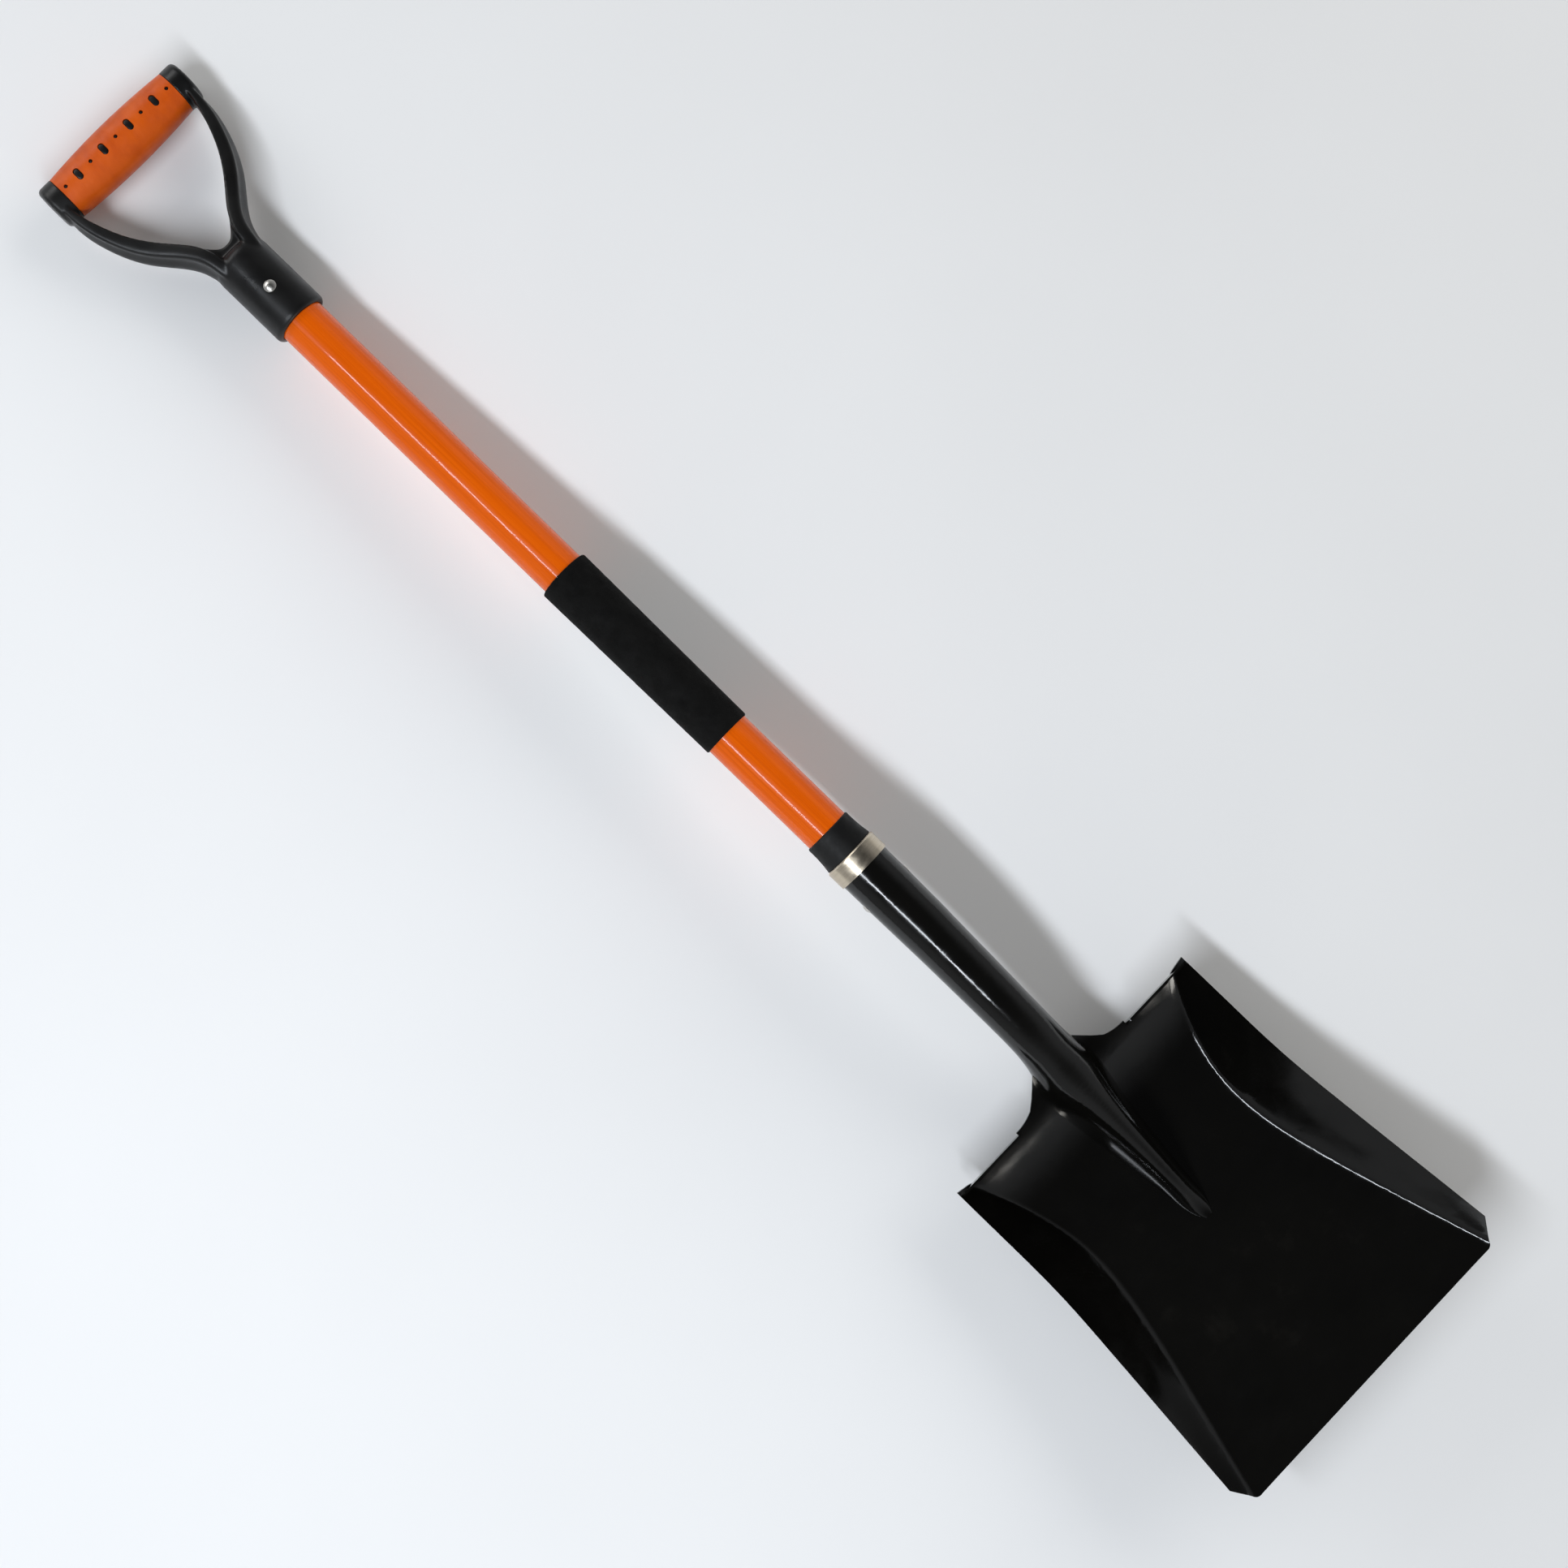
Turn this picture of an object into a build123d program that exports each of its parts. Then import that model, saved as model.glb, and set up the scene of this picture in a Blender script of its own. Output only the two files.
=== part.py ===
from build123d import *

import os
from math import asin, atan, cos, degrees, pi, radians, sin, sqrt

# A long-handled, square-mouth shovel with a D-handle: a pressed steel head, a fibreglass shaft and a
# moulded handle. The pieces are modelled in the shaft's own frame and then laid down on a floor, face up.
# Shaft frame: +X runs along the shaft from the hand grip towards the blade, +Z is the blade's open face,
# and the origin is the middle of the hand grip. Lengths are in millimetres.

# ---- shaft ----
shaft_radius = 17.0
shaft_wall = 3.2
shaft_start = 117.0
shaft_end = 755.0
plug_length_upper = 60.0
plug_length_lower = 75.0

# ---- hand grip: a barrel sleeve moulded round a core, with studs that show through windows ----
grip_half_length = 51.7
grip_end_radius = 15.7
grip_middle_radius = 17.9
core_radius = 12.5
stud_pitch = 23.7
stud_dot_radius = 1.4
stud_slot_length = 8.9
stud_slot_width = 4.6
stud_sink = 0.6

# ---- handle frame ----
cheek_outer = 63.8
cheek_radius = 15.9
cheek_edge = 3.5
yoke_radius = 20.9
yoke_start = 108.0
yoke_end = 172.0
yoke_lip = 3.5
yoke_nose = 8.0
handle_rivet_x = 145.5
rivet_shank_radius = 2.5
rivet_head_radius = 4.4
rivet_head_height = 1.9
handle_rivet_half_length = 20.5
washer_radius = 5.6
washer_thickness = 1.0
# Each arm station: the inner face's x and y, the outer side's x and y, and the arm's depth in Z.
arm_stations = [
    (-9.0, 55.0, -9.0, 63.7, 26.0),
    (22.0, 53.9, 24.0, 61.8, 26.0),
    (41.0, 47.7, 45.0, 57.3, 26.0),
    (58.0, 39.3, 64.5, 49.0, 27.0),
    (73.5, 27.8, 80.0, 38.2, 29.0),
    (88.0, 16.4, 93.5, 27.4, 33.0),
    (100.0, 11.0, 104.0, 22.2, 36.0),
    (120.0, 7.4, 120.0, 18.6, 30.0),
]
web_points = [(88.0, 17.0), (96.5, 9.6), (100.6, 5.6), (102.2, 0.0)]
web_depth = 25.0

# ---- foam grip ----
foam_start = 419.5
foam_end = 574.5
foam_radius_upper = 19.6
foam_radius_lower = 18.4

# ---- collar and band ----
collar_start = 669.0
collar_end = 689.8
collar_small_radius = 18.3
collar_large_radius = 19.6
collar_spigot_end = 714.0
spigot_radius = 17.85
band_start = 690.1
band_end = 704.5
band_radius = 20.8
band_bore = 19.95
band_lip_bore = 18.6

# ---- head: a sheet pressed into a socket, a hollow ridge and a dished pan ----
sheet = 1.6
socket_start = 691.0
socket_rivet_x = 725.5
socket_rivet_radius = 3.9
socket_rivet_height = 1.5
socket_rivet_half_length = 19.2
seam_half_width = 1.6
seam_end = 880.0
pan_low_x = 985.0
pan_low_z = -91.0
pan_heel_bend = 95.0
pan_heel_steepest = 0.72
pan_rise = 10.8
mouth_x = 1210.0
mouth_half_width = 120.5
mouth_clip_x = 1187.0
rim_heel_x = 910.0
rim_heel_z = -46.5
rim_rise = 0.042
wall_crease = 3.2
tread_inner_y = 54.0
tread_inner_radius = 5.0
tread_corner_y = 97.0
tread_outer_y = 112.5
tread_top_z = -47.0
tread_foot_x = 920.5
tread_bend = 9.0
tread_lean = 84.0
# Each socket station: x, height of its middle, its rise above and its drop below the middle, half its width.
socket_stations = [
    (socket_start, 0.0, 19.7, 19.7, 19.7),
    (704.0, 0.0, 19.6, 19.6, 19.6),
    (717.0, 0.0, 19.5, 19.5, 19.5),
    (731.0, 0.0, 19.4, 19.4, 19.4),
    (745.0, 0.0, 19.2, 19.2, 19.2),
    (761.0, -0.3, 19.0, 19.0, 19.0),
    (776.0, -1.9, 18.65, 18.65, 18.65),
    (793.0, -4.4, 18.4, 18.4, 18.4),
    (822.0, -9.2, 18.0, 18.0, 18.0),
    (849.0, -14.6, 17.8, 17.8, 17.7),
    (869.0, -21.4, 18.8, 17.6, 17.8),
]
# The ridge runs on from the socket. Its middle is the pan's floor, and its back is open.
ridge_stations = [
    (892.0, -40.0, 28.4, 8.0, 19.8),
    (912.0, -57.6, 39.0, 1.0, 23.6),
    (936.0, -77.6, 49.4, 0.6, 22.3),
    (960.0, -87.8, 49.8, 0.6, 19.0),
    (996.0, -90.5, 38.0, 0.6, 14.7),
    (1030.0, -84.3, 17.8, 0.6, 10.5),
    (1054.0, -79.9, 2.6, 0.6, 5.5),
    (1058.0, -79.1, 1.0, 0.6, 3.0),
]
back_opening = 45.0


def ramp(distance, softness, slope):
    """Zero before a bend and a straight slope after it, with a rounded corner between the two."""
    return slope / 2 * (sqrt(distance * distance + softness * softness) + distance)


def plate_z(x):
    """Height of the pan's floor along its middle: a straight rise, and an arc that curls up at the heel."""
    rise = pan_rise * pi / 180
    straight_from = pan_low_x + pan_heel_bend * sin(rise)
    centre_z = pan_low_z + pan_heel_bend
    if x >= straight_from:
        return centre_z - pan_heel_bend * cos(rise) + (x - straight_from) * sin(rise) / cos(rise)
    steepest = pan_low_x - pan_heel_steepest * pan_heel_bend
    if x >= steepest:
        return centre_z - sqrt(pan_heel_bend ** 2 - (x - pan_low_x) ** 2)
    level = sqrt(1 - pan_heel_steepest ** 2)
    return centre_z - level * pan_heel_bend + (steepest - x) * pan_heel_steepest / level


def crease_y(x):
    """Half-width of the pan's floor, narrowest behind the middle and widest at the mouth."""
    return 58.1 + ramp(x - 1014.0, 53.0, 0.322) + ramp(1014.0 - x, 53.0, 0.426)


def rim_y(x):
    """Half-width over the side walls' rims."""
    return 114.2 + ramp(x - 1013.0, 23.5, 0.094)


def rim_z(x):
    """Height of the side walls' rims."""
    return rim_heel_z + rim_rise * (x - rim_heel_x)


def pan_z(x, y):
    """Height of the pan's open face: its floor, and walls that lean out from the crease to the rim."""
    lean = (rim_z(x) - plate_z(x)) / max(rim_y(x) - crease_y(x), 6.0)
    return plate_z(x) + ramp(abs(y) - crease_y(x), wall_crease, lean)


def pan_point(x, y, drop):
    """A point of the pan's face, or of its back, which is one sheet below it along the normal."""
    step = 0.05
    slope_x = (pan_z(x + step, y) - pan_z(x - step, y)) / (2 * step)
    slope_y = (pan_z(x, y + step) - pan_z(x, y - step)) / (2 * step)
    length = sqrt(1 + slope_x ** 2 + slope_y ** 2)
    shift = drop / length
    return Vector(x + shift * slope_x, y + shift * slope_y, pan_z(x, y) - shift)


def pan_face(drop, margin):
    """One face of the pan's sheet, as a smooth surface through rows of points that follow the crease."""
    offsets = (-18.0, -12.0, -8.0, -5.0, -2.5, 0.0, 2.5, 5.0, 8.0, 12.0)
    rows = []
    stations = 27
    start = 884.0 - margin
    end = mouth_x + 6.0 + margin
    for i in range(stations):
        x = start + (end - start) * i / (stations - 1)
        crease = crease_y(x)
        half = [0.0, 0.3 * crease, 0.6 * crease]
        half += [crease + offset for offset in offsets]
        outer = max(rim_y(x) + 7.0, crease + 17.0) + margin
        half += [(crease + 12.0 + outer) / 2, outer]
        row = [-y for y in reversed(half[1:])] + half
        rows.append([pan_point(x, y, drop) for y in row])
    return Face.make_surface_from_array_of_points(rows, tol=0.02, min_deg=3, max_deg=3)


def pan_outline():
    """Plan outline of the pan: scalloped neck, straight heel, leaning rims and clipped mouth corners."""
    neck = [(868.0, 8.0), (888.0, 17.0), (903.4, 30.5), (910.4, 37.5)]
    heel = [(914.6, tread_inner_y + 1.0), (tread_foot_x - 0.5, tread_inner_y + 1.0),
            (tread_foot_x - 0.5, tread_corner_y), (915.6, tread_corner_y + 6.0)]
    rim = [(x, rim_y(x)) for x in (911.0, 960.0, 1010.0, 1060.0, 1120.0, mouth_clip_x)]
    with BuildSketch() as plan:
        with BuildLine():
            Polyline((868.0, 0.0), *neck)
            ThreePointArc(neck[-1], (913.4, 45.0), heel[0])
            Polyline(*heel, rim[0])
            Spline(*rim)
            FilletPolyline(rim[-1], (mouth_x, mouth_half_width), (mouth_x, 0.0), radius=5.0)
            Line((mouth_x, 0.0), (868.0, 0.0))
        make_face()
        mirror(about=Plane.XZ)
    return plan.sketch


def make_pan():
    """The dished pan alone, one sheet thick, trimmed to its outline and its rims."""
    outline = extrude(Plane.XY.offset(-140.0) * pan_outline(), amount=140.0)
    side_profile = Polyline((860.0, -140.0), (1230.0, -140.0), (1230.0, rim_z(1230.0)),
                            (rim_heel_x - 1.0, rim_heel_z), (900.0, -25.0), (860.0, -10.0), close=True)
    side = extrude(Plane.XZ * make_face(side_profile), amount=150.0, both=True)
    above_back = extrude(pan_face(sheet, 3.0), amount=200.0, dir=(0, 0, -1))
    below_face = extrude(pan_face(0.0, 0.0), amount=160.0, dir=(0, 0, -1))
    return (below_face & outline & side) - above_back


def make_tread(side):
    """The heel's upturned step on one side, a strip that bends from the pan up to a thin top edge."""
    heel = asin((pan_low_x - tread_foot_x) / pan_heel_bend)
    lean = radians(tread_lean)
    centre_x = tread_foot_x + tread_bend * sin(heel)
    centre_z = plate_z(tread_foot_x) + tread_bend * cos(heel)

    def on_bend(radius, angle):
        return (centre_x - radius * sin(angle), centre_z - radius * cos(angle))

    def at_top(radius):
        start = on_bend(radius, lean)
        rise = tread_top_z - start[1]
        return (start[0] - rise * cos(lean) / sin(lean), tread_top_z)

    back = tread_bend + sheet
    middle = (heel + lean) / 2
    with BuildSketch(Plane.XZ) as section:
        with BuildLine():
            ThreePointArc(on_bend(tread_bend, heel), on_bend(tread_bend, middle), on_bend(tread_bend, lean))
            Polyline(on_bend(tread_bend, lean), at_top(tread_bend), at_top(back), on_bend(back, lean))
            ThreePointArc(on_bend(back, lean), on_bend(back, middle), on_bend(back, heel))
            Line(on_bend(back, heel), on_bend(tread_bend, heel))
        make_face()
    strip = extrude(section.sketch, amount=-(tread_outer_y - tread_inner_y))
    strip = Pos(0, tread_inner_y, 0) * strip
    reach = 100.0
    window = Pos(tread_inner_y + reach / 2, tread_top_z - reach / 2) * RectangleRounded(
        reach, reach, tread_inner_radius)
    strip = strip & extrude(Plane.YZ.offset(tread_foot_x - reach / 2) * window, amount=reach)
    if side < 0:
        return mirror(strip, about=Plane.XZ)
    return strip


def socket_section(station, inset, drop):
    """A closed outline across the socket, inset by a wall: an upper and a lower half-ellipse."""
    x, middle, rise, fall, half_width = station
    width = half_width - inset
    halves = []
    for height in (rise - inset, -drop):
        steps = [i / 8 for i in range(9)]
        points = [Vector(x, width * cos(pi * t), middle + height * sin(pi * t)) for t in steps]
        upright = Vector(0, 0, pi * height)
        halves.append(Edge.make_spline(points, tangents=[upright, upright * -1], parameters=steps, scale=False))
    return Wire(halves)


def make_socket_outside():
    """The outside of the socket and of the ridge that it runs on as."""
    sections = [socket_section(station, 0.0, station[3]) for station in socket_stations + ridge_stations]
    return Solid.make_loft(sections)


def make_socket_inside():
    """The hollow in the socket, which opens out through the back of the pan under the ridge."""
    round_part = [socket_section(station, sheet, station[3] - sheet) for station in socket_stations[:-1]]
    round_part = [Pos(-8.0, 0, 0) * round_part[0]] + round_part
    open_part = [socket_section(station, sheet, back_opening) for station in ridge_stations[:-2]]
    opening = socket_section(socket_stations[-1], sheet, 0.6 * back_opening)
    return Solid.make_loft(round_part + [opening] + open_part)


def make_blade_head(pose):
    """The whole head, laid down: pan, treads, and an open-backed socket whose front runs on as the ridge."""
    hollow = make_socket_inside()
    head = pose * (make_pan() - hollow) + pose * (make_socket_outside() - hollow)
    head += pose * make_tread(1)
    head += pose * make_tread(-1)
    seam = Box(seam_end - band_end, 2 * seam_half_width, 50.0)
    head -= pose * Pos((seam_end + band_end) / 2, 0, -36.0) * seam
    return head - pose * make_socket_rivet()


def ring(points):
    """A solid of revolution about the shaft's axis, from (x, radius) points."""
    return revolve(make_face(Polyline(*points, close=True)), axis=Axis.X)


def make_shaft():
    """The fibreglass tube, drilled for both rivets."""
    bore = shaft_radius - shaft_wall
    tube = ring([(shaft_start, bore), (shaft_end, bore), (shaft_end, shaft_radius), (shaft_start, shaft_radius)])
    return tube - make_handle_rivet() - make_socket_rivet()


def make_plug(start, end):
    """A core plug that keeps a rivet from crushing the tube."""
    radius = shaft_radius - shaft_wall
    plug = ring([(start, 0.0), (start, radius - 1.5), (start + 1.5, radius), (end - 1.5, radius),
                 (end, radius - 1.5), (end, 0.0)])
    return plug - make_handle_rivet() - make_socket_rivet()


def dome(radius, height):
    """A domed rivet head on the XY plane."""
    sphere_radius = (radius * radius + height * height) / (2 * height)
    cap = Pos(0, 0, height - sphere_radius) * Sphere(sphere_radius)
    return cap & Pos(0, 0, height / 2) * Box(4 * radius, 4 * radius, height)


def make_rivet(shank_radius, head_radius, head_height, half_length):
    """A rivet along Z through the origin, with a domed head at each end."""
    shank = Cylinder(shank_radius, 2 * half_length)
    head = Pos(0, 0, half_length) * dome(head_radius, head_height)
    return shank + head + mirror(head, about=Plane.XY)


def make_handle_rivet():
    """The rivet through the yoke, square to the blade's face."""
    rivet = make_rivet(rivet_shank_radius, rivet_head_radius, rivet_head_height, handle_rivet_half_length)
    return Pos(handle_rivet_x, 0, 0) * rivet


def make_handle_washer():
    """The washer under the rivet's back head."""
    washer = Cylinder(washer_radius, washer_thickness) - Cylinder(rivet_shank_radius, 2 * washer_thickness)
    return Pos(handle_rivet_x, 0, washer_thickness / 2 - handle_rivet_half_length) * washer


def make_socket_rivet():
    """The rivet through the socket, across its width."""
    rivet = make_rivet(rivet_shank_radius, socket_rivet_radius, socket_rivet_height, socket_rivet_half_length)
    return Pos(socket_rivet_x, 0, 0) * Rot(90, 0, 0) * rivet


def grip_barrel(inset):
    """The grip's barrel shape about Y, inset from the sleeve's surface."""
    end = grip_end_radius - inset
    middle = grip_middle_radius - inset
    with BuildSketch() as half:
        with BuildLine():
            Polyline((0.0, -grip_half_length), (end, -grip_half_length))
            ThreePointArc((end, -grip_half_length), (middle, 0.0), (end, grip_half_length))
            Polyline((end, grip_half_length), (0.0, grip_half_length), (0.0, -grip_half_length))
        make_face()
    return revolve(half.sketch, axis=Axis.Y)


def stud_posts(growth):
    """Round and slot-shaped posts in turn along the grip, through its front and its back."""
    posts = Part()
    for i in range(-4, 5):
        place = Pos(0, i * stud_pitch / 2, 0)
        if i % 2:
            shape = SlotOverall(stud_slot_length + 2 * growth, stud_slot_width + 2 * growth)
        else:
            shape = Circle(stud_dot_radius + growth)
        posts += place * extrude(shape, amount=30.0, both=True)
    return posts


def make_grip_sleeve():
    """The soft sleeve moulded over the core, with a window for each stud."""
    core = Cylinder(core_radius, 2 * grip_half_length + 2, rotation=(90, 0, 0))
    sleeve = grip_barrel(0.0) - core - stud_posts(0.0)
    return sleeve


def arm_section(station):
    """A D across an arm: a flat inner face and a rounded outer side."""
    inner_x, inner_y, outer_x, outer_y, depth = station
    width = sqrt((outer_x - inner_x) ** 2 + (outer_y - inner_y) ** 2)
    across = Vector(outer_x - inner_x, outer_y - inner_y, 0).normalized()
    plane = Plane(origin=(inner_x, inner_y, 0), x_dir=across, z_dir=across.cross(Vector(0, 0, 1)))
    half = depth / 2
    with BuildSketch(plane) as section:
        with BuildLine():
            Line((0, half), (0, -half))
            Line((0, -half), (0.2 * width, -half))
            Spline((0.2 * width, -half), (0.78 * width, -0.66 * half), (width, 0), (0.78 * width, 0.66 * half),
                   (0.2 * width, half), tangents=((1, 0), (-1, 0)))
            Line((0.2 * width, half), (0, half))
        make_face()
    return section.sketch


def make_arm():
    """One arm of the D, from the cheek at the grip's end to the yoke."""
    return loft([arm_section(station) for station in arm_stations])


def make_web():
    """The web in the crotch between the arms."""
    with BuildSketch() as plan:
        with BuildLine():
            Spline(*web_points, tangents=((0.7, -0.7), (0, -1)))
            Polyline(web_points[-1], (118.0, 0.0), (118.0, 17.0), web_points[0])
        make_face()
        mirror(about=Plane.XZ)
    return extrude(plan.sketch, amount=web_depth / 2, both=True)


def make_cheek():
    """The round cheek at one end of the grip."""
    length = cheek_outer - grip_half_length
    disc = Cylinder(cheek_radius, length, rotation=(90, 0, 0))
    disc = fillet(disc.edges().sort_by(Axis.Y)[-1], cheek_edge)
    return Pos(0, grip_half_length + length / 2, 0) * disc


def make_handle_frame():
    """The handle's one-piece moulding: yoke, arms, cheeks, crossbar core and studs."""
    yoke = Cylinder(yoke_radius, yoke_end - yoke_start, rotation=(0, 90, 0))
    yoke = fillet(yoke.edges().sort_by(Axis.X)[-1], yoke_lip)
    yoke = fillet(yoke.edges().sort_by(Axis.X)[0], yoke_nose)
    yoke = Pos((yoke_start + yoke_end) / 2, 0, 0) * yoke
    arm = make_arm() + make_cheek()
    core = Cylinder(core_radius, 2 * grip_half_length + 2, rotation=(90, 0, 0))
    studs = stud_posts(0.0) & grip_barrel(stud_sink)
    frame = yoke + arm + mirror(arm, about=Plane.XZ) + make_web() + core + studs
    bore_length = yoke_end - shaft_start + 1
    frame -= Pos(shaft_start + bore_length / 2, 0, 0) * Cylinder(shaft_radius, bore_length, rotation=(0, 90, 0))
    return frame - make_handle_rivet() - make_handle_washer()


def make_foam_grip():
    """The foam tube on the shaft, slightly tapered, with soft edges."""
    edge = 0.9
    return ring([(foam_start, shaft_radius), (foam_start, foam_radius_upper - edge),
                 (foam_start + edge, foam_radius_upper), (foam_end - edge, foam_radius_lower),
                 (foam_end, foam_radius_lower - edge), (foam_end, shaft_radius)])


def make_collar():
    """The collar that closes the socket's mouth: a flared ring with a spigot that centres the shaft."""
    with BuildSketch() as profile:
        with BuildLine():
            Polyline((collar_start, shaft_radius), (collar_start, collar_small_radius - 0.8),
                     (collar_start + 0.8, collar_small_radius))
            ThreePointArc((collar_start + 0.8, collar_small_radius), (681.0, 18.55),
                          (collar_end, collar_large_radius))
            Polyline((collar_end, collar_large_radius), (collar_end, band_lip_bore - 0.5),
                     (collar_end + 1.0, spigot_radius), (collar_spigot_end, spigot_radius),
                     (collar_spigot_end, shaft_radius), (collar_start, shaft_radius))
        make_face()
    return revolve(profile.sketch, axis=Axis.X)


def make_band():
    """The steel band round the socket's mouth, with an edge rolled in over it."""
    return ring([(band_start, band_lip_bore), (band_start, band_radius - 1.3), (band_start + 0.5, band_radius - 0.5),
                 (band_start + 1.3, band_radius), (band_end, band_radius), (band_end, band_bore),
                 (socket_start, band_bore), (socket_start, band_lip_bore)])


def floor_pose():
    """Lies the shovel on its back, on the grip's middle and the pan's curl, with the origin under its middle."""
    back_radius = pan_heel_bend + sheet
    centre_z = pan_low_z + pan_heel_bend
    reach = sqrt(pan_low_x ** 2 + centre_z ** 2)
    tilt = asin((back_radius - grip_middle_radius) / reach) - atan(centre_z / pan_low_x)
    mouth_reach = mouth_x * cos(tilt) - (plate_z(mouth_x) - sheet) * sin(tilt)
    return Pos((grip_middle_radius - mouth_reach) / 2, 0, grip_middle_radius) * Rot(0, -degrees(tilt), 0)


def make_parts():
    """Every piece by its name, laid down on the floor."""
    pose = floor_pose()
    return {
        "blade_head": make_blade_head(pose),
        "socket_band": pose * make_band(),
        "shaft_collar": pose * make_collar(),
        "shaft_tube": pose * make_shaft(),
        "upper_core_plug": pose * make_plug(shaft_start + 1.0, shaft_start + plug_length_upper),
        "lower_core_plug": pose * make_plug(shaft_end - plug_length_lower, shaft_end - 1.0),
        "foam_grip": pose * make_foam_grip(),
        "handle_frame": pose * make_handle_frame(),
        "grip_sleeve": pose * make_grip_sleeve(),
        "handle_rivet": pose * make_handle_rivet(),
        "handle_rivet_washer": pose * make_handle_washer(),
        "socket_rivet": pose * make_socket_rivet(),
    }


os.makedirs("parts", exist_ok=True)
for name, piece in make_parts().items():
    export_step(piece, f"parts/{name}.step")
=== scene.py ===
import math
import random

import bmesh
import bpy
from mathutils import Matrix, Vector


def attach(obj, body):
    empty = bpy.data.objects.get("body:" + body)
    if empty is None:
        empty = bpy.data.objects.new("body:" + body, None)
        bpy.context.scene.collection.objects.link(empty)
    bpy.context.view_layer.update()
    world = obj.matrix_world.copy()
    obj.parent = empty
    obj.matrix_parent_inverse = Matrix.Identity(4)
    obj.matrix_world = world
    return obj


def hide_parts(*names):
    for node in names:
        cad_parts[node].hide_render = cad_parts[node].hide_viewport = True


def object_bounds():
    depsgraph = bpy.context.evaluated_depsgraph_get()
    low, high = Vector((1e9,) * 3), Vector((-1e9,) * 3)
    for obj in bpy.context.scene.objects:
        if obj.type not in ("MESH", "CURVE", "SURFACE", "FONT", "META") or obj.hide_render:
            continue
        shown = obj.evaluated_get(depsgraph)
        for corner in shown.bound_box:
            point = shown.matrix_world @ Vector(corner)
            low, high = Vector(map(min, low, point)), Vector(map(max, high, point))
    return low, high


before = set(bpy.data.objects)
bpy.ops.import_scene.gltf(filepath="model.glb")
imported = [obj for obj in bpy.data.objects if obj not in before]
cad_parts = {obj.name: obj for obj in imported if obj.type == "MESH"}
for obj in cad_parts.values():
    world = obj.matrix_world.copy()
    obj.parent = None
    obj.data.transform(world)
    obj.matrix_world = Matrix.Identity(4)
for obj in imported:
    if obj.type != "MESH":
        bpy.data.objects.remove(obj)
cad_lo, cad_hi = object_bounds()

# A square-mouth shovel lying face up on a pale floor. The pieces are described in the shaft's own frame:
# +X runs from the hand grip towards the blade, +Z points out of the blade's open face, and the origin is
# the middle of the hand grip. `lay` takes that frame to the row frame. Lengths are in metres.

TILT = math.radians(4.35002)
ORIGIN = Vector((-0.596256, 0.0, 0.0179))
LAY = Matrix.Translation(ORIGIN) @ Matrix.Rotation(-TILT, 4, "Y")


def lay(x, y, z):
    """A point of the shaft's frame, in the row frame."""
    return LAY @ Vector((x, y, z))


# ---------------------------------------------------------------- materials


class Finish:
    """A procedural material on one Principled shader, with textures laid out along the shaft.

    A texture's size is that of its features in metres: one number, or one for each of the shaft's axes.
    """

    def __init__(self, name, colour, roughness, metallic=0.0):
        self.material = bpy.data.materials.new(name)
        self.material.use_nodes = True
        self.tree = self.material.node_tree
        self.shader = self.tree.nodes["Principled BSDF"]
        self.set("Base Color", (*colour, 1.0))
        self.set("Roughness", roughness)
        self.set("Metallic", metallic)

    def set(self, socket, value):
        self.shader.inputs[socket].default_value = value

    def node(self, kind, **values):
        made = self.tree.nodes.new(kind)
        for key, value in values.items():
            setattr(made, key, value)
        return made

    def link(self, start, end):
        self.tree.links.new(start, end)

    def place(self, size):
        """Coordinates along the shaft's axes, with one unit for each feature."""
        where = self.node("ShaderNodeTexCoord")
        turn = self.node("ShaderNodeMapping", vector_type="TEXTURE")
        turn.inputs["Location"].default_value = ORIGIN
        turn.inputs["Rotation"].default_value = (0.0, -TILT, 0.0)
        turn.inputs["Scale"].default_value = (size, size, size) if isinstance(size, float) else size
        self.link(where.outputs["Object"], turn.inputs["Vector"])
        return turn.outputs["Vector"]

    def noise(self, size, detail=3.0, roughness=0.55):
        made = self.node("ShaderNodeTexNoise")
        made.inputs["Scale"].default_value = 1.0
        made.inputs["Detail"].default_value = detail
        made.inputs["Roughness"].default_value = roughness
        self.link(self.place(size), made.inputs["Vector"])
        return made.outputs["Fac"]

    def cells(self, size):
        made = self.node("ShaderNodeTexVoronoi")
        made.inputs["Scale"].default_value = 1.0
        self.link(self.place(size), made.inputs["Vector"])
        return made.outputs["Distance"]

    def tint(self, value, *stops):
        """Colours the surface by a texture, through a ramp of (position, colour) stops."""
        made = self.node("ShaderNodeValToRGB")
        ramp = made.color_ramp
        while len(ramp.elements) < len(stops):
            ramp.elements.new(0.5)
        for element, (position, colour) in zip(ramp.elements, stops):
            element.position = position
            element.color = (*colour, 1.0)
        self.link(value, made.inputs["Fac"])
        self.link(made.outputs["Color"], self.shader.inputs["Base Color"])

    def gloss(self, value, over, roughness):
        """Varies the roughness with a texture: over this range of the texture, between these two values."""
        made = self.node("ShaderNodeMapRange")
        self.link(value, made.inputs["Value"])
        sockets = ("From Min", "From Max", "To Min", "To Max")
        for socket, number in zip(sockets, (*over, *roughness)):
            made.inputs[socket].default_value = number
        self.link(made.outputs["Result"], self.shader.inputs["Roughness"])

    def bump(self, *layers):
        """Stacks (height texture, depth in metres) layers of relief."""
        before = None
        for height, depth in layers:
            made = self.node("ShaderNodeBump")
            made.inputs["Strength"].default_value = 1.0
            made.inputs["Distance"].default_value = depth
            self.link(height, made.inputs["Height"])
            if before is not None:
                self.link(before, made.inputs["Normal"])
            before = made.outputs["Normal"]
        self.link(before, self.shader.inputs["Normal"])


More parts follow.
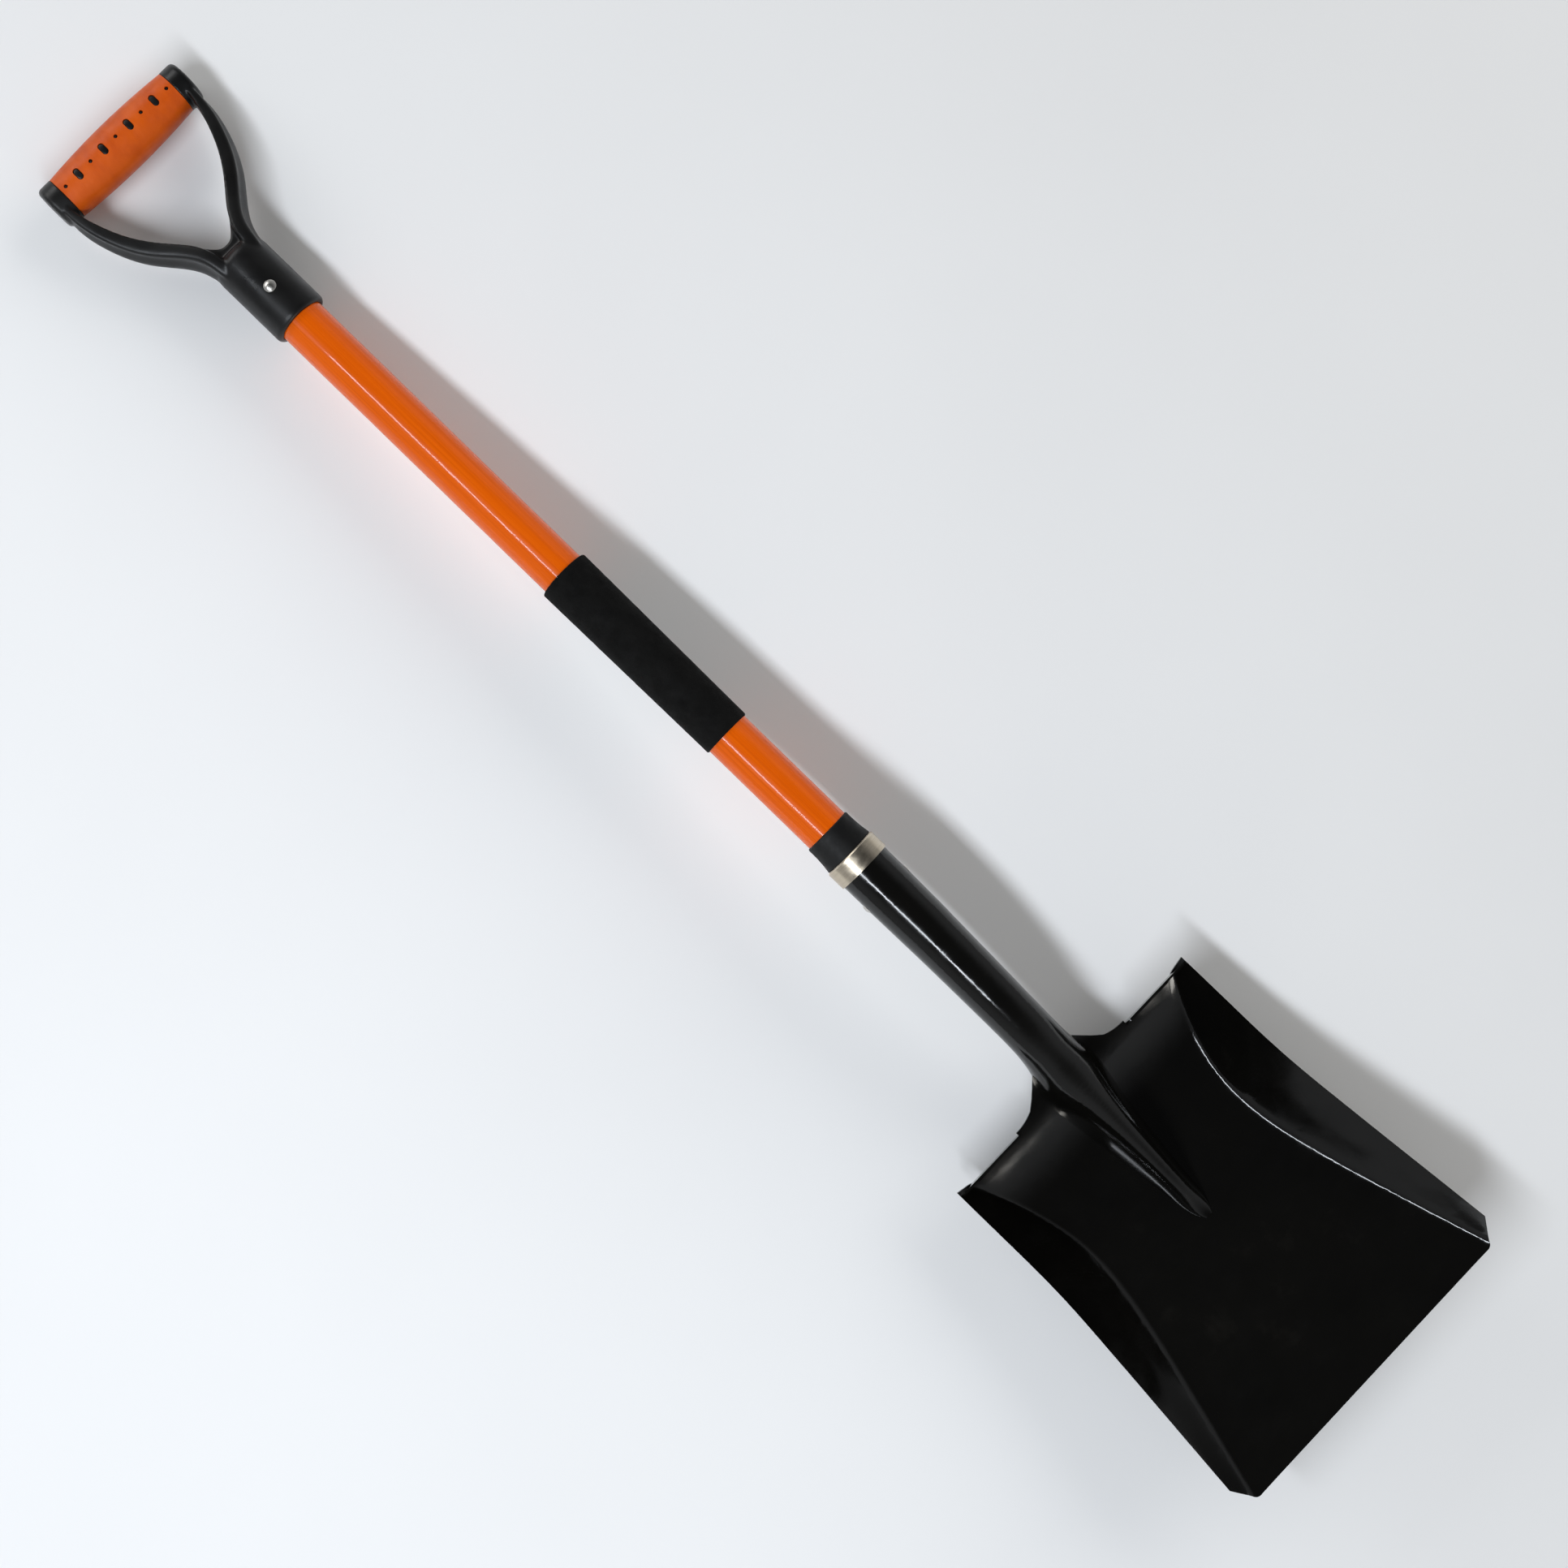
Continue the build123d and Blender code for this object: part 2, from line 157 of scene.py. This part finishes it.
def enamel():
    """Gloss black stove enamel: faint orange peel, shallow dents, and dust that dulls it in patches."""
    f = Finish("head_black_gloss", (0.0026, 0.0024, 0.0020), 0.09)
    f.set("IOR", 1.5)
    dust = f.noise(0.05, detail=6.0, roughness=0.62)
    f.tint(dust,
           (0.30, (0.0021, 0.0020, 0.0017)),
           (0.62, (0.0029, 0.0027, 0.0022)),
           (0.85, (0.0075, 0.0068, 0.0055)))
    dulled = f.noise((0.018, 0.03, 0.02), detail=5.0, roughness=0.6)
    f.gloss(dulled, over=(0.30, 0.74), roughness=(0.08, 0.19))
    orange_peel = f.noise(0.0022, detail=1.0)
    dents = f.noise(0.045, detail=1.0)
    f.bump((orange_peel, 0.000006), (dents, 0.00014))
    return f.material


def fibreglass():
    """Orange pultruded fibreglass under a clear gel coat: long faint fibres, and patches dulled by use."""
    f = Finish("shaft_orange", (0.66, 0.102, 0.0012), 0.2)
    f.set("Specular IOR Level", 0.12)
    f.set("Coat Weight", 0.42)
    f.set("Coat IOR", 1.4)
    f.set("Coat Roughness", 0.03)
    fibres = f.noise((0.13, 0.0011, 0.0011), detail=4.0, roughness=0.6)
    f.tint(fibres,
           (0.25, (0.62, 0.084, 0.0009)),
           (0.52, (0.72, 0.106, 0.0012)),
           (0.80, (0.78, 0.130, 0.002)))
    dulled = f.noise((0.03, 0.006, 0.006), detail=5.0)
    f.gloss(dulled, over=(0.32, 0.72), roughness=(0.16, 0.34))
    strands = f.noise((0.06, 0.0012, 0.0012), detail=2.0)
    waves = f.noise((0.09, 0.02, 0.02), detail=1.0)
    f.bump((strands, 0.00003), (waves, 0.0004))
    return f.material


def sleeve_rubber():
    """Satin orange rubber: a fine moulded grain, and a colour that varies a little where it is held."""
    f = Finish("sleeve_orange", (0.60, 0.088, 0.002), 0.42)
    f.set("Specular IOR Level", 0.3)
    handled = f.noise((0.02, 0.012, 0.02), detail=4.0)
    f.tint(handled,
           (0.28, (0.50, 0.064, 0.0015)),
           (0.55, (0.60, 0.088, 0.002)),
           (0.8, (0.66, 0.106, 0.004)))
    rubbed = f.noise(0.006, detail=4.0)
    f.gloss(rubbed, over=(0.3, 0.7), roughness=(0.36, 0.54))
    grain = f.noise(0.0005, detail=2.0)
    swell = f.noise(0.012)
    f.bump((grain, 0.00007), (swell, 0.0004))
    return f.material


def moulded_black():
    """Satin black polypropylene: fine grain, with patches rubbed shinier."""
    f = Finish("handle_black", (0.005, 0.005, 0.005), 0.4)
    f.set("Specular IOR Level", 0.34)
    fading = f.noise(0.03, detail=5.0)
    f.tint(fading, (0.3, (0.0034, 0.0034, 0.0036)), (0.75, (0.0075, 0.0072, 0.0068)))
    rubbed = f.noise((0.025, 0.02, 0.02), detail=5.0)
    f.gloss(rubbed, over=(0.3, 0.72), roughness=(0.27, 0.47))
    grain = f.noise(0.0006, detail=2.0)
    sinks = f.noise(0.02, detail=1.0)
    f.bump((grain, 0.00004), (sinks, 0.0004))
    return f.material


def foam():
    """Matt black closed-cell foam: small pores over a soft, uneven skin."""
    f = Finish("foam_black", (0.0048, 0.0047, 0.0043), 0.9)
    f.set("Specular IOR Level", 0.15)
    mottle = f.noise(0.012, detail=6.0)
    f.tint(mottle, (0.3, (0.0020, 0.0019, 0.0017)), (0.75, (0.0048, 0.0046, 0.0042)))
    rubbed = f.noise(0.008)
    f.gloss(rubbed, over=(0.3, 0.7), roughness=(0.8, 0.97))
    pores = f.cells(0.00085)
    skin = f.noise(0.004)
    f.bump((pores, 0.00022), (skin, 0.0003))
    return f.material


def collar_rubber():
    """Matt black rubber with a dull, patchy bloom."""
    f = Finish("collar_rubber", (0.004, 0.004, 0.0038), 0.62)
    f.set("Specular IOR Level", 0.3)
    bloom = f.noise(0.01, detail=5.0)
    f.tint(bloom, (0.3, (0.0018, 0.0018, 0.0017)), (0.75, (0.0044, 0.0042, 0.0039)))
    rubbed = f.noise(0.006, detail=4.0)
    f.gloss(rubbed, over=(0.3, 0.7), roughness=(0.52, 0.72))
    grain = f.noise(0.0007, detail=2.0)
    f.bump((grain, 0.00006))
    return f.material


def band_steel():
    """Stainless strip, brushed round the socket, with a warm tint."""
    f = Finish("band_steel", (0.62, 0.54, 0.42), 0.4, metallic=1.0)
    brushed = f.noise((0.00022, 0.02, 0.02), detail=3.0, roughness=0.7)
    f.tint(brushed,
           (0.25, (0.50, 0.43, 0.33)),
           (0.55, (0.64, 0.56, 0.44)),
           (0.8, (0.74, 0.67, 0.56)))
    smeared = f.noise((0.004, 0.008, 0.008), detail=4.0)
    f.gloss(smeared, over=(0.3, 0.7), roughness=(0.25, 0.4))
    waves = f.noise(0.008)
    f.bump((brushed, 0.00002), (waves, 0.00015))
    return f.material


def rivet_steel():
    """Nickel-plated rivets, a little pitted."""
    f = Finish("rivet_steel", (0.62, 0.60, 0.56), 0.22, metallic=1.0)
    tarnish = f.noise(0.0016, detail=4.0)
    f.tint(tarnish, (0.3, (0.56, 0.54, 0.50)), (0.7, (0.68, 0.66, 0.62)))
    smeared = f.noise(0.0012, detail=4.0)
    f.gloss(smeared, over=(0.3, 0.7), roughness=(0.26, 0.4))
    pits = f.noise(0.0015, detail=2.0)
    f.bump((pits, 0.000006))
    return f.material


def core_plastic():
    """Grey nylon plug, faintly mottled."""
    f = Finish("core_plastic", (0.32, 0.32, 0.31), 0.5)
    mottle = f.noise(0.006, detail=5.0)
    f.tint(mottle, (0.3, (0.27, 0.27, 0.26)), (0.75, (0.37, 0.37, 0.36)))
    scuffs = f.noise(0.004)
    f.gloss(scuffs, over=(0.3, 0.7), roughness=(0.42, 0.6))
    grain = f.noise(0.001)
    f.bump((grain, 0.00005))
    return f.material


FINISHES = {
    "head_black_gloss": enamel(),
    "band_steel": band_steel(),
    "collar_rubber": collar_rubber(),
    "shaft_orange": fibreglass(),
    "core_plastic": core_plastic(),
    "foam_black": foam(),
    "handle_black": moulded_black(),
    "sleeve_orange": sleeve_rubber(),
    "rivet_steel": rivet_steel(),
}
NODE_FINISH = {
    "blade_head": "head_black_gloss",
    "socket_band": "band_steel",
    "shaft_collar": "collar_rubber",
    "shaft_tube": "shaft_orange",
    "upper_core_plug": "core_plastic",
    "lower_core_plug": "core_plastic",
    "foam_grip": "foam_black",
    "handle_frame": "handle_black",
    "grip_sleeve": "sleeve_orange",
    "handle_rivet": "rivet_steel",
    "handle_rivet_washer": "rivet_steel",
    "socket_rivet": "rivet_steel",
}
for node, slot_name in NODE_FINISH.items():
    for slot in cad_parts[node].material_slots:
        slot.material = FINISHES[slot_name]


# ---------------------------------------------------------------- pieces


def new_piece(name, vertices, faces, slot_name):
    """A mesh from points of the shaft's frame, riding on the frame."""
    mesh = bpy.data.meshes.new(name)
    mesh.from_pydata([lay(*v) for v in vertices], [], faces)
    mesh.materials.append(FINISHES[slot_name])
    shell = bmesh.new()
    shell.from_mesh(mesh)
    bmesh.ops.recalc_face_normals(shell, faces=shell.faces)
    shell.to_mesh(mesh)
    shell.free()
    piece = bpy.data.objects.new(name, mesh)
    bpy.context.scene.collection.objects.link(piece)
    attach(piece, "root")
    return piece


def turned(profile, segments, wobble):
    """Points and faces of a closed ring of profile points (x, radius) turned about the shaft's axis."""
    vertices = []
    for j in range(segments):
        a = 2 * math.pi * j / segments
        for x, r in profile:
            x, r = wobble(x, r, a)
            vertices.append((x, r * math.sin(a), r * math.cos(a)))
    n = len(profile)
    faces = []
    for j in range(segments):
        k = (j + 1) % segments
        for i in range(n):
            m = (i + 1) % n
            faces.append((j * n + i, j * n + m, k * n + m, k * n + i))
    return vertices, faces


def rounded_corner(x, r, radius, start, steps=7):
    """Profile points round a corner whose centre is (x, r), over a quarter turn from the start angle."""
    points = []
    for i in range(steps + 1):
        a = math.radians(start + 90.0 * i / steps)
        points.append((x + radius * math.cos(a), r + radius * math.sin(a)))
    return points


SHAFT_RADIUS = 0.017
FOAM_START, FOAM_END = 0.4195, 0.5745
FOAM_RADIUS_UPPER, FOAM_RADIUS_LOWER = 0.0196, 0.0184
FOAM_EDGE = 0.0012
FOAM_STATIONS = 90
FOAM_SEGMENTS = 128
FOAM_SHARP_ANGLE = math.radians(60.0)
# The skin's unevenness is a sum of waves along and round the tube. The bore stays true: it is every point
# that is within the bore's skin of the shaft. A wave's turn is in radians.
FOAM_SEED = 11
FOAM_WAVES = 14
FOAM_UNEVENNESS = 0.00016
FOAM_BORE_SKIN = 0.0003
WAVE_TURN = 6.28


def foam_waves():
    """Seeded waves: (waves to a metre along the tube, waves round it, phase, strength)."""
    random.seed(FOAM_SEED)
    waves = []
    for _ in range(FOAM_WAVES):
        pitch = random.uniform(20, 160)
        lobes = random.randint(0, 5)
        phase = random.uniform(0, WAVE_TURN)
        strength = random.uniform(0.3, 1.0)
        waves.append((pitch, lobes, phase, strength))
    return waves


def foam_profile():
    """The tube's section as a closed ring: the bore's two ends, the rounded rims and the tapered outside."""
    upper_rim = rounded_corner(FOAM_START + FOAM_EDGE, FOAM_RADIUS_UPPER - FOAM_EDGE, FOAM_EDGE, 90.0)
    lower_rim = rounded_corner(FOAM_END - FOAM_EDGE, FOAM_RADIUS_LOWER - FOAM_EDGE, FOAM_EDGE, 0.0)
    profile = [(FOAM_START, SHAFT_RADIUS)]
    profile += reversed(upper_rim)
    for i in range(1, FOAM_STATIONS):
        t = i / FOAM_STATIONS
        profile.append((FOAM_START + FOAM_EDGE + t * (FOAM_END - FOAM_START - 2 * FOAM_EDGE),
                        FOAM_RADIUS_UPPER + t * (FOAM_RADIUS_LOWER - FOAM_RADIUS_UPPER)))
    profile += reversed(lower_rim)
    profile.append((FOAM_END, SHAFT_RADIUS))
    return profile


def make_foam():
    """The foam tube: slightly tapered, with cut ends that round over and a skin that isn't quite even."""
    waves = foam_waves()

    def wobble(x, r, a):
        if r < SHAFT_RADIUS + FOAM_BORE_SKIN:
            return x, r
        swell = sum(strength * math.sin(pitch * x * WAVE_TURN + lobes * a + phase)
                    for pitch, lobes, phase, strength in waves) / len(waves)
        return x, r + FOAM_UNEVENNESS * swell

    vertices, faces = turned(foam_profile(), FOAM_SEGMENTS, wobble)
    piece = new_piece("foam_grip_soft", vertices, faces, "foam_black")
    piece.data.shade_smooth()
    piece.data.set_sharp_from_angle(angle=FOAM_SHARP_ANGLE)
    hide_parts("foam_grip")


make_foam()

HANDLE_VOXEL = 0.0006
SMOOTH_FACTOR = 0.5
# How many times each part of the handle's skin is smoothed. The empty name is the whole skin.
SMOOTH_TURNS = {"": 5, "crotch": 45, "cheeks": 12}
# The crotch is where the arms leave the yoke. The cheeks' outer rims lie past their edge by a margin.
CROTCH_START, CROTCH_END = 0.080, 0.136
CROTCH_FADE = 0.016
CHEEK_EDGE_Y = 0.0517
CHEEK_MARGIN = 0.001
CHEEK_END_X = 0.030


def fade(value, start, end, width):
    """One between start and end, fading to zero over a width outside them."""
    return max(0.0, min(1.0, (value - start + width) / width, (end - value + width) / width))


def evaluated_mesh(thing):
    """A new mesh of an object with its modifiers applied."""
    return bpy.data.meshes.new_from_object(thing.evaluated_get(bpy.context.evaluated_depsgraph_get()))


def welded_handle():
    """The CAD handle's shape as one closed skin of small voxels."""
    welded = bpy.data.objects.new("handle_welded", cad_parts["handle_frame"].data.copy())
    bpy.context.scene.collection.objects.link(welded)
    weld = welded.modifiers.new("weld", "REMESH")
    weld.mode = "VOXEL"
    weld.voxel_size = HANDLE_VOXEL
    skin = evaluated_mesh(welded)
    bpy.data.objects.remove(welded)
    return skin


def blended_handle():
    """The welded skin, smoothed a little all over, most in the crotch and some on the cheeks' rims."""
    skin = welded_handle()
    piece = bpy.data.objects.new("handle_moulding", skin)
    bpy.context.scene.collection.objects.link(piece)
    back = LAY.inverted()
    crotch = piece.vertex_groups.new(name="crotch")
    cheeks = piece.vertex_groups.new(name="cheeks")
    for vertex in skin.vertices:
        spot = back @ vertex.co
        blend = fade(spot.x, CROTCH_START, CROTCH_END, CROTCH_FADE)
        if blend > 0:
            crotch.add([vertex.index], blend, "REPLACE")
        if abs(spot.y) > CHEEK_EDGE_Y + CHEEK_MARGIN and spot.x < CHEEK_END_X:
            cheeks.add([vertex.index], 1.0, "REPLACE")
    for group, turns in SMOOTH_TURNS.items():
        soften = piece.modifiers.new("soften", "SMOOTH")
        soften.factor = SMOOTH_FACTOR
        soften.iterations = turns
        soften.vertex_group = group
    blended = evaluated_mesh(piece)
    bpy.data.objects.remove(piece)
    return blended


def make_handle():
    """The handle's moulding as one flowing skin, whose arms run softly into the yoke and the cheeks."""
    skin = blended_handle()
    skin.materials.clear()
    skin.materials.append(FINISHES["handle_black"])
    skin.shade_smooth()
    handle = bpy.data.objects.new("handle_moulding", skin)
    bpy.context.scene.collection.objects.link(handle)
    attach(handle, "root")
    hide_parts("handle_frame")


make_handle()


# ---------------------------------------------------------------- floor, light and camera

FLOOR_SIZE = 40.0
FLOOR_DROP = 0.0004


def make_floor():
    """A pale floor, a little below the lowest point so that nothing cuts into it."""
    bpy.ops.mesh.primitive_plane_add(size=FLOOR_SIZE, location=(0, 0, cad_lo.z - FLOOR_DROP))
    floor = bpy.context.object
    floor.name = "studio_floor"
    f = Finish("studio_paper", (0.83, 0.83, 0.825), 0.85)
    mottle = f.noise(0.4)
    f.tint(mottle, (0.3, (0.82, 0.82, 0.815)), (0.7, (0.845, 0.845, 0.84)))
    floor.data.materials.append(f.material)


# A light that points along X by more than this turns its width to Y, and any other to X.
ALONG_X = 0.7


def make_light(name, place, aim, width, height, watts, colour):
    """A soft box that faces its aim."""
    lamp = bpy.data.lights.new(name, "AREA")
    lamp.shape = "RECTANGLE"
    lamp.size = width
    lamp.size_y = height
    lamp.energy = watts
    lamp.color = colour
    box = bpy.data.objects.new(name, lamp)
    bpy.context.scene.collection.objects.link(box)
    back = (Vector(place) - Vector(aim)).normalized()
    across = Vector((1, 0, 0))
    if abs(back.x) > ALONG_X:
        across = Vector((0, 1, 0))
    up = back.cross(across).normalized()
    across = up.cross(back)
    turn = Matrix((across, up, back)).transposed().to_4x4()
    box.matrix_world = Matrix.Translation(place) @ turn
    return box


def make_lights():
    """A strip for the long highlight, a fill that isn't reflected, and a soft box past each end."""
    middle = (0.0, 0.0, 0.0)
    make_light("key", place=(0.0, -1.10, 1.75), aim=middle, width=2.2, height=0.20,
               watts=36.0, colour=(0.88, 0.93, 1.0))
    fill = make_light("fill", place=(0.1, 2.4, 1.3), aim=middle, width=3.2, height=1.6,
                      watts=36.0, colour=(1.0, 0.99, 0.97))
    fill.visible_glossy = False
    make_light("blade_end", place=(2.6, -0.5, 0.36), aim=(0.3, 0.0, 0.0), width=1.0, height=0.50,
               watts=13.0, colour=(1.0, 0.97, 0.90))
    make_light("grip_end", place=(-2.4, -0.3, 1.0), aim=(-0.2, 0.0, 0.0), width=1.8, height=0.8,
               watts=15.0, colour=(1.0, 1.0, 1.0))


# How bright the surround is at two heights, which run from 0 at the horizon to 1 overhead.
SURROUND_LEVELS = ((0.35, 0.33), (0.88, 0.045))
SURROUND_TINT = (0.95, 0.97, 1.0)


def make_world():
    """A soft surround that is dark overhead and paler towards the horizon."""
    world = bpy.data.worlds.new("studio")
    world.use_nodes = True
    tree = world.node_tree
    where = tree.nodes.new("ShaderNodeTexCoord")
    split = tree.nodes.new("ShaderNodeSeparateXYZ")
    ramp = tree.nodes.new("ShaderNodeValToRGB")
    ramp.color_ramp.interpolation = "EASE"
    for element, (height, level) in zip(ramp.color_ramp.elements, SURROUND_LEVELS):
        element.position = height
        element.color = (*(part * level for part in SURROUND_TINT), 1.0)
    tree.links.new(where.outputs["Generated"], split.inputs["Vector"])
    tree.links.new(split.outputs["Z"], ramp.inputs["Fac"])
    tree.links.new(ramp.outputs["Color"], tree.nodes["Background"].inputs["Color"])
    bpy.context.scene.world = world


# Almost straight down on the shovel, turned so that the hand grip is at the upper left.
CAMERA_PLACE = Vector((-0.0851, -0.1284, 1.5954))
CAMERA_AIM = Vector((0.0301, -0.0254, 0.03))
CAMERA_ROLL = math.radians(-44.192)
CAMERA_LENS = 52.0
CAMERA_SENSOR = 36.0
CAMERA_SHIFT = 0.02


def make_camera():
    """The photograph's view of the shovel."""
    camera = bpy.data.objects.new("camera", bpy.data.cameras.new("camera"))
    bpy.context.scene.collection.objects.link(camera)
    camera.data.lens = CAMERA_LENS
    camera.data.sensor_width = CAMERA_SENSOR
    camera.data.shift_x = CAMERA_SHIFT
    camera.data.shift_y = CAMERA_SHIFT
    back = (CAMERA_PLACE - CAMERA_AIM).normalized()
    across = Vector((0, 1, 0)).cross(back).normalized()
    up = back.cross(across)
    rolled_up = up * math.cos(CAMERA_ROLL) + across * math.sin(CAMERA_ROLL)
    rolled_across = rolled_up.cross(back)
    turn = Matrix((rolled_across, rolled_up, back)).transposed().to_4x4()
    camera.matrix_world = Matrix.Translation(CAMERA_PLACE) @ turn
    bpy.context.scene.camera = camera


make_floor()
make_world()
make_lights()
make_camera()
bpy.context.scene.view_settings.view_transform = "Standard"
